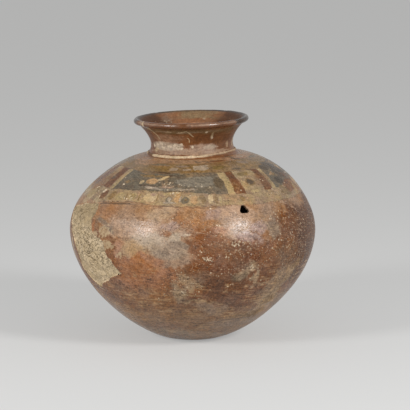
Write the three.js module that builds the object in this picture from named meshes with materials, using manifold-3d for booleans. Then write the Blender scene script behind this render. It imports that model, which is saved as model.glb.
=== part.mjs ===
// Globular painted pottery jar: a hand-built globe of fired clay with a short flared neck and a rolled lip.
// Millimetres, +Z up, origin at the centre of the flat rest spot, painted front facing -Y.
// Angles are degrees round the jar from the front, growing towards +X. Each clay course is its own solid.
import * as THREE from "three";
import * as BufferGeometryUtils from "three/addons/utils/BufferGeometryUtils.js";
import Module from "manifold-3d";

// The globe's outer wall.
const REST_RADIUS = 34;
const BELLY_RADIUS = 144;
const BELLY_HEIGHT = 127;
const NECK_FOOT_RADIUS = 54;
const NECK_FOOT_HEIGHT = 216.4;
const BASE_CURVE_REACH = new THREE.Vector2(75.1, 8.5);
const BELLY_CURVE_BELOW = 58;
const BELLY_CURVE_ABOVE = 42;
const SHOULDER_CURVE_REACH = new THREE.Vector2(95.5, 212);
const BASE_THICKNESS = 8;
const WALL_THICKNESS = 6.5;

// Heights where one clay course ends and the next begins, and how far each slanted joint climbs inwards.
const BASE_COURSE_TOP = 42;
const LOWER_COURSE_TOP = 92;
const BELLY_COURSE_TOP = 142;
const LOWER_SHOULDER_TOP = 197;
const JOINT_CLIMB = 7;

// The neck, its lip and the fillet of clay luted round its foot.
const NECK_TOP = new THREE.Vector2(61.5, 252.2);
const NECK_CURVE_FOOT = new THREE.Vector2(44.3, 223.6);
const NECK_CURVE_HEAD = new THREE.Vector2(46.4, 237.9);
const NECK_THICKNESS = 5.5;
const NECK_JOINT_DROP = 1.4;
const LIP_CENTRE = new THREE.Vector2(63.8, 256.1);
const LIP_RADIUS = 3.1;
const FILLET_FROM = 0.05;
const FILLET_TO = 0.16;
const FILLET_BULGE = 1.6;

// The upper jar sags to one side: its axis tilts about the front direction, fading in over the shoulder.
const LEAN_DEGREES = 1.6;
const LEAN_START = 150;
const LEAN_FULL = 195;
const LEAN_PIVOT = 200;

// The patch where the burnished skin has flaked away from the left side, as angle and height round its edge.
const FLAKE_DEPTH = 1.5;
const FLAKE_FACING = -64;
const FLAKE_EDGE = [
  [-66, 182], [-60, 180], [-57, 175.5], [-54, 168], [-53, 159], [-54, 152], [-51, 147.5], [-53, 137],
  [-47, 131.5], [-40, 131], [-42, 124], [-39, 120.5], [-43.5, 113], [-40, 100], [-36, 93.5], [-39.5, 89],
  [-46, 83.5], [-57, 70.5], [-62, 80.5], [-67.5, 88], [-69, 103], [-70, 122], [-71.5, 133], [-76, 144],
  [-83, 152], [-90, 161], [-91, 172], [-80, 181],
];

// The small rounded three-cornered hole through the front of the shoulder.
const HOLE_ANGLE = 27;
const HOLE_HEIGHT = 168.6;
const HOLE_CORNER_REACH = 4.4;
const HOLE_CORNER_RADIUS = 2;

// How finely the round walls are cut into flat facets.
const SEGMENTS = 72;
const OUTER_STEP = 11.5;
const INNER_STEP = 17;
const NECK_OUTER_STEP = 6;
const NECK_INNER_STEP = 10;
const LIP_STEPS = 8;
const FILLET_STEPS = 4;
const FILLET_BACK_STEP = 2;
const CREASE_ANGLE = 0.6;

const wasm = await Module();
wasm.setup();

// The centre line of the outer surface, as radius and height, from the rest spot up to the neck's foot.
const globeOutline = new THREE.CurvePath();
globeOutline.add(
  new THREE.CubicBezierCurve(
    new THREE.Vector2(REST_RADIUS, 0),
    BASE_CURVE_REACH,
    new THREE.Vector2(BELLY_RADIUS, BELLY_HEIGHT - BELLY_CURVE_BELOW),
    new THREE.Vector2(BELLY_RADIUS, BELLY_HEIGHT),
  ),
);
globeOutline.add(
  new THREE.CubicBezierCurve(
    new THREE.Vector2(BELLY_RADIUS, BELLY_HEIGHT),
    new THREE.Vector2(BELLY_RADIUS, BELLY_HEIGHT + BELLY_CURVE_ABOVE),
    SHOULDER_CURVE_REACH,
    new THREE.Vector2(NECK_FOOT_RADIUS, NECK_FOOT_HEIGHT),
  ),
);
const neckOutline = new THREE.CubicBezierCurve(
  new THREE.Vector2(NECK_FOOT_RADIUS, NECK_FOOT_HEIGHT),
  NECK_CURVE_FOOT,
  NECK_CURVE_HEAD,
  NECK_TOP,
);

// A point of an outline, moved inwards at right angles to it by a depth of clay.
function under(outline, t, depth) {
  const point = outline.getPoint(t);
  const along = outline.getTangent(t);
  return new THREE.Vector2(point.x - along.y * depth, point.y + along.x * depth);
}

// Where an outline that only rises reaches a height.
function atHeight(outline, height) {
  let low = 0;
  let high = 1;
  for (let halving = 0; halving < 40; halving += 1) {
    const middle = (low + high) / 2;
    if (outline.getPoint(middle).y < height) low = middle;
    else high = middle;
  }
  return (low + high) / 2;
}

// Points along one face of a wall, from one place on its outline to another, evenly stepped.
function face(outline, from, to, depth, step) {
  const count = Math.max(1, Math.round((Math.abs(to - from) * outline.getLength()) / step));
  const points = [];
  for (let i = 0; i <= count; i += 1) points.push(under(outline, from + ((to - from) * i) / count, depth));
  return points;
}

// A closed outline of radius and height, turned once round the jar's axis.
function turned(profile) {
  const geometry = new THREE.LatheGeometry(profile, SEGMENTS);
  geometry.rotateX(Math.PI / 2);
  return geometry;
}

function toSolid(geometry) {
  const bare = geometry.clone();
  bare.deleteAttribute("normal");
  bare.deleteAttribute("uv");
  const merged = BufferGeometryUtils.mergeVertices(bare);
  const corners = merged.index.array;
  const position = merged.attributes.position.array;
  const triVerts = [];
  for (let i = 0; i < corners.length; i += 3) {
    const [a, b, c] = corners.slice(i, i + 3);
    if (a !== b && b !== c && c !== a) triVerts.push(a, b, c);
  }
  const mesh = new wasm.Mesh({ numProp: 3, vertProperties: position, triVerts: new Uint32Array(triVerts) });
  return new wasm.Manifold(mesh);
}

function toGeometry(solid) {
  const mesh = solid.getMesh();
  const geometry = new THREE.BufferGeometry();
  geometry.setAttribute("position", new THREE.BufferAttribute(mesh.vertProperties, 3));
  geometry.setIndex(new THREE.BufferAttribute(mesh.triVerts, 1));
  return geometry;
}

// Tilts the shoulder and neck sideways. Every course goes through the same bend, so the joints stay shut.
function leaned(geometry) {
  const position = geometry.attributes.position;
  const slope = Math.tan(THREE.MathUtils.degToRad(LEAN_DEGREES));
  for (let i = 0; i < position.count; i += 1) {
    const x = position.getX(i);
    const z = position.getZ(i);
    const tilt = slope * THREE.MathUtils.smoothstep(z, LEAN_START, LEAN_FULL);
    const shift = tilt * Math.max(0, z - LEAN_PIVOT);
    position.setX(i, x - shift);
    position.setZ(i, z + x * tilt);
  }
  return geometry;
}

const baseJoint = atHeight(globeOutline, BASE_COURSE_TOP);
const lowerJoint = atHeight(globeOutline, LOWER_COURSE_TOP);
const bellyJoint = atHeight(globeOutline, BELLY_COURSE_TOP);
const shoulderJoint = atHeight(globeOutline, LOWER_SHOULDER_TOP);
const climb = JOINT_CLIMB / globeOutline.getLength();

// The foot of the neck meets the shoulder in a slanted face that runs down inside.
const neckJointInside = new THREE.Vector2(
  NECK_FOOT_RADIUS - NECK_THICKNESS,
  NECK_FOOT_HEIGHT - WALL_THICKNESS + NECK_JOINT_DROP,
);

// The stretch of the neck's outer face that the fillet sits on.
const filletSeat = face(neckOutline, FILLET_FROM, FILLET_TO, 0, FILLET_BACK_STEP);

// The moulded bowl that the jar stands on, thicker than the walls and flat underneath.
function baseBowl() {
  const outside = face(globeOutline, 0, baseJoint, 0, OUTER_STEP);
  const inside = face(globeOutline, baseJoint + climb, 0, WALL_THICKNESS, INNER_STEP);
  inside[inside.length - 1] = under(globeOutline, 0, BASE_THICKNESS);
  return turned([
    new THREE.Vector2(0, 0),
    ...outside,
    ...inside,
    new THREE.Vector2(0, BASE_THICKNESS),
  ]);
}

// A course of the globe's wall between two slanted joints.
function wallCourse(from, to) {
  const outside = face(globeOutline, from, to, 0, OUTER_STEP);
  const inside = face(globeOutline, to + climb, from + climb, WALL_THICKNESS, INNER_STEP);
  return turned([...outside, ...inside, outside[0]]);
}

// The course that closes in to the mouth and carries the neck.
function mouthCourse() {
  const outside = face(globeOutline, shoulderJoint, 1, 0, OUTER_STEP);
  const inside = face(globeOutline, 1, shoulderJoint + climb, WALL_THICKNESS, INNER_STEP);
  inside[0] = neckJointInside;
  return turned([...outside, ...inside, outside[0]]);
}

function neckTube() {
  const outside = [
    ...face(neckOutline, 0, FILLET_FROM, 0, NECK_OUTER_STEP),
    ...filletSeat.slice(1),
    ...face(neckOutline, FILLET_TO, 1, 0, NECK_OUTER_STEP).slice(1),
  ];
  const inside = face(neckOutline, 1, 0, NECK_THICKNESS, NECK_INNER_STEP);
  inside[inside.length - 1] = neckJointInside;
  return turned([...outside, ...inside, outside[0]]);
}

// The coil that finishes the mouth, rolled outwards over the neck's top edge.
function lipRoll() {
  const seatOutside = under(neckOutline, 1, 0);
  const seatInside = under(neckOutline, 1, NECK_THICKNESS);
  const roll = new THREE.EllipseCurve(
    LIP_CENTRE.x, LIP_CENTRE.y, LIP_RADIUS, LIP_RADIUS, -0.55 * Math.PI, 0.6 * Math.PI, false,
  );
  return turned([seatOutside, ...roll.getPoints(LIP_STEPS), seatInside, seatOutside]);
}

// The raised ring of clay pressed round the foot of the neck.
function neckFillet() {
  const foot = filletSeat[0];
  const head = filletSeat[filletSeat.length - 1];
  const crown = new THREE.Vector2().addVectors(foot, head).multiplyScalar(0.5);
  const outwards = new THREE.Vector2(head.y - foot.y, foot.x - head.x).normalize();
  crown.addScaledVector(outwards, 2 * FILLET_BULGE);
  const front = new THREE.QuadraticBezierCurve(foot, crown, head);
  return turned([...front.getPoints(FILLET_STEPS), ...filletSeat.slice(0, -1).reverse()]);
}

// A flat outline standing upright on the jar's side, pushed straight out from inside the jar to outside.
function outwardPrism(shape, angle, from, to) {
  const geometry = new THREE.ExtrudeGeometry(shape, { depth: to - from, bevelEnabled: false });
  const turn = THREE.MathUtils.degToRad(angle);
  const out = new THREE.Vector3(Math.sin(turn), -Math.cos(turn), 0);
  const round = new THREE.Vector3(Math.cos(turn), Math.sin(turn), 0);
  const place = new THREE.Matrix4().makeBasis(round, new THREE.Vector3(0, 0, 1), out);
  place.setPosition(out.clone().multiplyScalar(from));
  return geometry.applyMatrix4(place);
}

// The clay lost in the flaked patch: what lies inside its jagged edge and outside a jar drawn in by its depth.
function flakeCutter() {
  const edge = FLAKE_EDGE.map(([angle, height]) => {
    const radius = globeOutline.getPoint(atHeight(globeOutline, height)).x;
    return new THREE.Vector2(radius * Math.sin(THREE.MathUtils.degToRad(angle - FLAKE_FACING)), height);
  });
  const prism = outwardPrism(new THREE.Shape(edge), FLAKE_FACING, BELLY_RADIUS / 2, BELLY_RADIUS * 1.2);
  const kept = turned([
    new THREE.Vector2(0, FLAKE_DEPTH),
    ...face(globeOutline, 0, 1, FLAKE_DEPTH, OUTER_STEP),
    new THREE.Vector2(0, NECK_FOOT_HEIGHT - FLAKE_DEPTH),
  ]);
  return toSolid(prism).subtract(toSolid(kept));
}

// A three-cornered plug with rounded corners, set square to the sloping shoulder.
function holeCutter() {
  const shape = new THREE.Shape();
  for (let corner = 0; corner < 3; corner += 1) {
    const bearing = Math.PI / 2 + (corner * 2 * Math.PI) / 3;
    const x = HOLE_CORNER_REACH * Math.cos(bearing);
    const y = HOLE_CORNER_REACH * Math.sin(bearing);
    shape.absarc(x, y, HOLE_CORNER_RADIUS, bearing - Math.PI / 3, bearing + Math.PI / 3, false);
  }
  const place = atHeight(globeOutline, HOLE_HEIGHT);
  const middle = globeOutline.getPoint(place);
  const uphill = globeOutline.getTangent(place);
  const geometry = new THREE.ExtrudeGeometry(shape, {
    depth: 4 * WALL_THICKNESS, bevelEnabled: false, curveSegments: 4,
  });
  geometry.translate(0, 0, -2 * WALL_THICKNESS);
  geometry.rotateX(Math.atan2(uphill.y, -uphill.x));
  geometry.translate(0, -middle.x, middle.y);
  geometry.rotateZ(THREE.MathUtils.degToRad(HOLE_ANGLE));
  return toSolid(geometry);
}

function clay(color, roughness) {
  return new THREE.MeshStandardMaterial({ color, roughness, metalness: 0 });
}

const group = new THREE.Group();

function addCourse(name, geometry, material) {
  const mesh = new THREE.Mesh(BufferGeometryUtils.toCreasedNormals(leaned(geometry), CREASE_ANGLE), material);
  mesh.name = name;
  group.add(mesh);
}

const flake = flakeCutter();
const lowerWall = toSolid(wallCourse(baseJoint, lowerJoint)).subtract(flake);
const bellyWall = toSolid(wallCourse(lowerJoint, bellyJoint)).subtract(flake);
const lowerShoulder = toSolid(wallCourse(bellyJoint, shoulderJoint)).subtract(flake).subtract(holeCutter());

addCourse("base_bowl", baseBowl(), clay(0x7d5638, 0.75));
addCourse("lower_wall", toGeometry(lowerWall), clay(0x8a4c30, 0.6));
addCourse("belly_wall", toGeometry(bellyWall), clay(0x96583e, 0.5));
addCourse("lower_shoulder", toGeometry(lowerShoulder), clay(0x9a7250, 0.55));
addCourse("upper_shoulder", mouthCourse(), clay(0x8c6a4c, 0.55));
addCourse("neck", neckTube(), clay(0x82482c, 0.55));
addCourse("rim", lipRoll(), clay(0x7a4630, 0.5));
addCourse("neck_fillet", neckFillet(), clay(0xc8a47c, 0.7));

export default group;
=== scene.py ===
import functools
import itertools
import math

import bpy
import numpy as np
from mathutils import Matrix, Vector


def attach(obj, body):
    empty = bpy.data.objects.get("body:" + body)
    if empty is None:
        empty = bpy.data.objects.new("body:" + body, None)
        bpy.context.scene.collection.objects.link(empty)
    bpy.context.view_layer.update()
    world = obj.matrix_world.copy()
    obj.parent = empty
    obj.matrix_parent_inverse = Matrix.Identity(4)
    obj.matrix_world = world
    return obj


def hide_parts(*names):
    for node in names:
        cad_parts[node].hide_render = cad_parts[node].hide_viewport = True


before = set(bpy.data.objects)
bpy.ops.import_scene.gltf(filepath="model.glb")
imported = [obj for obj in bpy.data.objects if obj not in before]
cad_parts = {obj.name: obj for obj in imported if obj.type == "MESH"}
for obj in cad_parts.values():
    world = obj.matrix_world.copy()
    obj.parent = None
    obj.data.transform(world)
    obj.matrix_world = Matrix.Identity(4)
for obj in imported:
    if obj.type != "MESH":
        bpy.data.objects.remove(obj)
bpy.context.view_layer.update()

# All lengths below are millimetres and all angles degrees round the jar from the front, growing towards +X.
MM = 0.001

# The outer wall, as radius and height: two curves for the globe and one for the neck.
GLOBE_BELOW = ((34, 0), (75.1, 8.5), (144, 69), (144, 127))
GLOBE_ABOVE = ((144, 127), (144, 169), (95.5, 212), (54, 216.4))
NECK = ((54, 216.4), (44.3, 223.6), (46.4, 237.9), (61.5, 252.2))
NECK_TOP = NECK[-1][1]
LIP_CENTRE = (63.8, 256.1)
LIP_RADIUS = 3.1
LIP_TURN = (-95, 112)
LIP_MARKS_FROM = 253  # the neck's marks end here and the lip's begin
WALL = 6.5
BASE_WALL = 8
NECK_WALL = 5.5
NECK_JOINT_INSIDE = (48.5, 211.3)
JOINT_HEIGHTS = (42, 92, 142, 197)
JOINT_CLIMB = 7

# The sideways lean of everything above the belly.
LEAN = 1.6
LEAN_START = 150
LEAN_FULL = 195
LEAN_PIVOT = 200

# Unevenness as layers of noise: height, size of the largest lumps, octaves and seed.
HAND_WAVES = ((0.3, 70, 2, 1), (0.1, 18, 2, 3))
INSIDE_WAVES = ((0.35, 30, 2, 21),)
MOUTH_WAVES = ((0.28, 40, 2, 31), (0.08, 9, 2, 33), (0.03, 2.5, 2, 35))
FLAKE_EDGE_WAVES = ((0.8, 7, 3, 11), (0.5, 2.2, 2, 12))
FLAKE_FLOOR_WAVES = ((0.3, 9, 2, 7),)
FLAKE_RIDGES = ((0.45, 4, 2, 9),)
CRUST_GRAIN = ((1, 5, 3, 5),)
CHALK_GRAIN = ((0.6, 3, 2, 6),)
NICK_WAVES = ((0.6, 2, 2, 37),)
FILLET_WAVES = ((0.25, 6, 2, 41),)
CRUST_RISE = 0.2
CHALK_RISE = 0.35
CLOD_RISE = 0.9
CRACK_DEPTH = 0.5
# The outside runs into the rest spot and into the neck over these lengths, where it lies on the turned wall again.
CALM_BELOW = 8
CALM_ABOVE = 4
CALM_ROWS = 4  # the same at both ends of the mouth's profile, in rows

# The flaked patch, with its edge as angle and height.
FLAKE_DEPTH = 1.5
FLAKE_EDGE = (
    (-76, 160.6), (-70, 166), (-63, 167.4), (-59.4, 169.7), (-56, 169.7), (-55.1, 164), (-54.8, 158.3), (-56, 152.6),
    (-55.7, 146.7), (-53.8, 139.8), (-52.3, 134.7), (-48.7, 133), (-45.2, 129.4), (-44.1, 125), (-44.6, 120.6),
    (-43.8, 116.8), (-42.8, 111.8), (-40.7, 109.5), (-40.1, 104.7), (-37.8, 98.4), (-35.8, 93.8), (-41.3, 89),
    (-44.8, 85.8), (-46.8, 81.4), (-51.5, 78), (-57.6, 70.3), (-63, 75), (-68, 81.5), (-71, 87.5), (-70, 99),
    (-70.5, 109), (-74, 122), (-78, 133), (-84, 142), (-88, 152), (-84, 158),
)
# How the bared paste's ridges run: a turn about the viewing direction and a squeeze along them.
FLAKE_GRAIN = np.array([[0.36, 0, 0.45], [0, 0.7, 0], [-0.2, 0, 0.89]])

# The three-cornered hole in the shoulder.
HOLE_ANGLE = 26.4
HOLE_HEIGHT = 168.2
HOLE_CORNER_REACH = 3.1
HOLE_CORNER_RADIUS = 2.9

# The luted ring climbs and thins on the right: how far it rises up the neck and how thick it is, at angles.
FILLET_RISE = ((-180, 1.5), (-70, 1), (-20, 0.6), (10, 1.2), (30, 2.8), (60, 3.6), (110, 2.5), (180, 1.5))
FILLET_SIZE = (
    (-180, 1.1), (-75, 1.2), (-50, 1.6), (-8, 1.6), (12, 1.4), (35, 1.15), (60, 1), (110, 1), (180, 1.1),
)
FILLET_PLACE = 2.4
FILLET_BULGE = 0.9
FILLET_HALF_HEIGHT = 1.25
FILLET_CORNERS = 14

# Small losses along the lip: angle, half width and depth.
NICKS = ((-64, 3.2, 0.9), (56, 4, 1.1), (34, 2, 0.5), (-20, 1.6, 0.35), (140, 3.5, 0.8), (-140, 2.6, 0.7))
NICK_SPREAD = 10  # how far a loss reaches round the lip's roll, squared

# Rows about the lip's inner end over which the outside's look turns into the mouth's.
MOUTH_FADE = (-8, 2)

# How finely the surfaces are cut. The picture side and the flaked side get the narrower steps.
FINE_SIDE = (-98, 76)
FINE_STEP = 0.42
COARSE_STEP = 0.7
OUTER_STEP = 0.8
INNER_STEP = 5.5
MOUTH_STEP = 1.2
LIP_CORNERS = 24
SLOPE_CORNERS = 4
SLOPE_BULGE = 0.35
HOLE_MARGIN = 9
FAR = 9.0  # signed distances go no further
STROKE_CORNERS = 7
STROKE_MARGIN = 4

# How far marks wander off their places, in wide and in small waves, with the seed.
DRAWN_STRAY = (0.6, 0.8, 61)
SPREAD_STRAY = (7, 3, 81)
MOUTH_STRAY = (1, 0.6, 51)
# The size and octaves of those waves.
STRAY_WIDE = (24, 2)
STRAY_SMALL = (6, 3)
# How softly blots end, as a share of their size.
CRISP = 0.22
SOFT = 0.4
NECK_SOFT = 0.3
BLURRED = 0.5
WHOLE_RING = 50  # half the height of a blot that crosses a whole ring
# Weight of the nearest blots' colour where nothing covers the ground, so that torn edges have a colour.
HINT = 0.02

# Slip, paint and dirt colours, as light reflected in each channel.
RED = (0.198, 0.09, 0.047)
TAN = (0.32, 0.19, 0.112)
LOAM = (0.315, 0.186, 0.108)
DEEP = (0.155, 0.066, 0.031)
BRICK = (0.18, 0.07, 0.03)
UMBER = (0.18, 0.096, 0.052)
MAROON = (0.195, 0.094, 0.055)
EMBER = (0.328, 0.152, 0.08)
OCHRE = (0.31, 0.165, 0.09)
RUSSET = (0.282, 0.15, 0.084)
BLUSH = (0.38, 0.215, 0.142)
ROSE = (0.385, 0.255, 0.175)
BUFF = (0.36, 0.235, 0.14)
SAND = (0.28, 0.172, 0.105)
PALE_SAND = (0.41, 0.28, 0.175)
DUN = (0.33, 0.222, 0.155)
ASH = (0.34, 0.255, 0.185)
PALE_ASH = (0.415, 0.325, 0.24)
PEWTER = (0.23, 0.165, 0.118)
DRIFT = (0.24, 0.156, 0.1)
CRUST = (0.35, 0.246, 0.16)
PLUM = (0.122, 0.09, 0.061)
MAUVE = (0.365, 0.25, 0.208)
GARNET = (0.145, 0.044, 0.012)
DUSK = (0.078, 0.027, 0.009)
SOOT = (0.065, 0.038, 0.021)
INK = (0.11, 0.076, 0.043)
CREAM = (0.37, 0.27, 0.15)
PALE_CREAM = (0.47, 0.35, 0.21)
STRAW = (0.365, 0.268, 0.142)
MOSS = (0.19, 0.126, 0.051)
ORANGE = (0.44, 0.275, 0.15)
BARK = (0.205, 0.131, 0.063)
SLATE = (0.138, 0.112, 0.076)
PALE_SLATE = (0.188, 0.158, 0.118)
DOVE = (0.33, 0.26, 0.195)
BAR_RED = (0.142, 0.06, 0.026)
SMOKE = (0.06, 0.042, 0.027)
CHALK_WHITE = (0.62, 0.50, 0.36)
PASTE = (0.5, 0.375, 0.218)
PASTE_LIGHT = (0.68, 0.53, 0.345)
PASTE_DARK = (0.18, 0.116, 0.051)
PASTE_EDGE = (0.70, 0.54, 0.36)
BARE_CLAY = (0.29, 0.156, 0.08)
NECK_RED = (0.2, 0.076, 0.026)
NECK_DARK = (0.13, 0.046, 0.012)
NECK_OLIVE = (0.138, 0.076, 0.029)
LIP_RED = (0.16, 0.066, 0.031)
LIP_PAINTED_SHADE = (0.035, 0.02, 0.012)
MOUTH_TAN = (0.225, 0.101, 0.043)
MOUTH_DARK = (0.075, 0.027, 0.008)
LUTING = (0.56, 0.42, 0.27)

# Lines of the painted frieze: heights at angles round the jar.
BAND_FOOT = (
    (-180, 173), (-58, 171.5), (-45, 175), (-34, 176.6), (-26, 175.6), (-14, 173.8), (5, 173.2), (8, 174.3),
    (24, 173.2), (47, 171.4), (180, 173),
)
BAND_HEAD = ((-180, 187), (-53, 187), (-34, 188.9), (-20, 188.5), (-5, 187.7), (18, 185), (32, 183), (180, 187))
PANEL_HEAD = (
    (-180, 205), (-52, 207), (-44, 206), (-37, 204.4), (-26, 205), (-13, 205.5), (2, 206), (17, 205.2), (52, 204),
    (62, 202), (180, 205),
)
BORDER_HEAD = 213.5

# Dark panels, light stripes and red bars: left edge at head and foot, right edge at head and foot.
PANELS = ((-51.8, -54, 18, 20.8), (57.6, 54.8, 138, 139), (179.5, 180, 269, 270))
STRIPES = (
    (18.1, 21, 23, 24.2), (54.4, 51.8, 57.4, 54.6), (-54.3, -56.1, -51.8, -54), (-74, -72.2, -71.6, -70),
    (-90, -89.5, -87.4, -86.6), (138.6, 139.5, 141.4, 142.8), (175, 176, 178.4, 179.6),
)
BARS = (
    (24.3, 24.6, 29, 31.3), (47.2, 44.6, 53.4, 51.3), (-66, -65.5, -57.8, -57.4), (-84.6, -84, -78.4, -76.5),
    (143.5, 145, 149, 152), (167, 166, 172.8, 173.5),
)

# Painted figures in the frieze: colour, angle, height, half width, half height and any slant.
# All of them come again in the other panels.
REPEATS = (0, 110, 232)
FIGURES = (
    (PLUM, -47, 190.6, 18, 3, 6), (BARK, -46, 195.5, 4, 2.4), (PALE_SLATE, 3.5, 197.6, 25, 8),
    (INK, 16.4, 196, 5.5, 9), (SOOT, -19, 201.6, 9, 3, 30), (BARK, -31, 202.6, 16, 2),
    (ORANGE, -27, 197.8, 7.8, 5, 4), (PALE_CREAM, -34.2, 196.8, 2.7, 3), (PALE_CREAM, -20, 200.8, 6.6, 2.5, 32),
    (SOOT, -29, 193.4, 14, 1.2, -3), (DOVE, -24, 191.4, 13, 1.9, -9), (PALE_SLATE, -12, 191, 16, 2.4, -3),
    (DOVE, -4, 190.4, 12, 1), (BARK, -50, 180.5, 5, 6.5), (STRAW, -43.6, 180.8, 7, 5.6, 5),
    (BARK, -39.2, 181.5, 1, 6), (STRAW, -35, 182.2, 5.2, 5.4, 5), (MOSS, -35, 182.4, 2.4, 2.8),
    (STRAW, -35, 182.6, 1.5, 1.8), (MOSS, -30.3, 182, 1, 6), (PALE_CREAM, -23.6, 182.8, 8, 6),
    (ROSE, -22.6, 185.4, 4, 2.4), (BARK, -19.6, 182, 0.9, 6), (STRAW, -14.4, 186.4, 4.6, 2.2),
    (SLATE, -12.8, 180.4, 4, 4.2), (PALE_ASH, -12.6, 180.8, 2.5, 2.7), (CHALK_WHITE, -12, 178.4, 1.3, 1.2),
    (ORANGE, -8, 182.4, 3.4, 6), (DOVE, -6.3, 181, 1.5, 4.4), (SLATE, -3.6, 179.6, 4.4, 4.8),
    (BARK, -3.2, 179.8, 1.6, 1.8), (ORANGE, 1.2, 180, 4.4, 6), (BARK, 5.6, 181, 3, 6.4, 18),
    (PALE_CREAM, 9.6, 181, 3, 6.4), (BARK, 12.6, 180.8, 2, 6.4), (STRAW, 15, 180, 1.6, 5.4),
    (BARK, 27.5, 178.6, 3.2, 3.2), (BUFF, 30.5, 178.6, 1.8, 2), (BARK, -31.5, 208.6, 17, 5, -4),
    (PEWTER, -30, 212, 12, 1.6), (SOOT, -24, 206, 16, 1.2, -3), (SLATE, -33, 212.6, 9, 1.8),
    (ASH, -15.5, 209, 5, 3.4), (PEWTER, -8, 211.4, 9, 2.4), (ASH, -4, 208.4, 6, 2), (DOVE, -12, 177, 8, 1.2),
    (DOVE, 7.4, 209.6, 9, 4.2), (PALE_ASH, 7.6, 211.4, 8, 1.4), (PALE_ASH, 2.4, 209, 1.6, 3.6),
    (MOSS, 22, 209.4, 8, 4),
)
# Figures that only the divider on the front's right has, and the panel beyond it.
DIVIDER_FIGURES = (
    # The SMOKE blot at 76° darkens the panel's end toward the right side: dark paint, partly painted shade.
    (SMOKE, 64, 203, 10, 5), (SMOKE, 64, 189.6, 9, 5.4), (BUFF, 62.5, 196.6, 6, 1.8, 20), (SMOKE, 76, 196, 14, 12),
    (MOSS, 37, 201.4, 8, 4), (CREAM, 32.6, 191, 1.3, 8), (BARK, 38.1, 193.5, 6.2, 5.6),
    (SMOKE, 38.1, 193.5, 4.8, 4.2), (STRAW, 38, 184.4, 7, 2), (PEWTER, 50, 211, 8, 3.4, -20),
    (BARK, 61, 208.7, 7, 4.6), (INK, 36, 206.4, 7, 1.6), (BARK, 44, 208.6, 5, 3), (BARK, 62, 178, 12, 5),
    (BUFF, 56, 181, 8, 1, 8),
)
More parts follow.
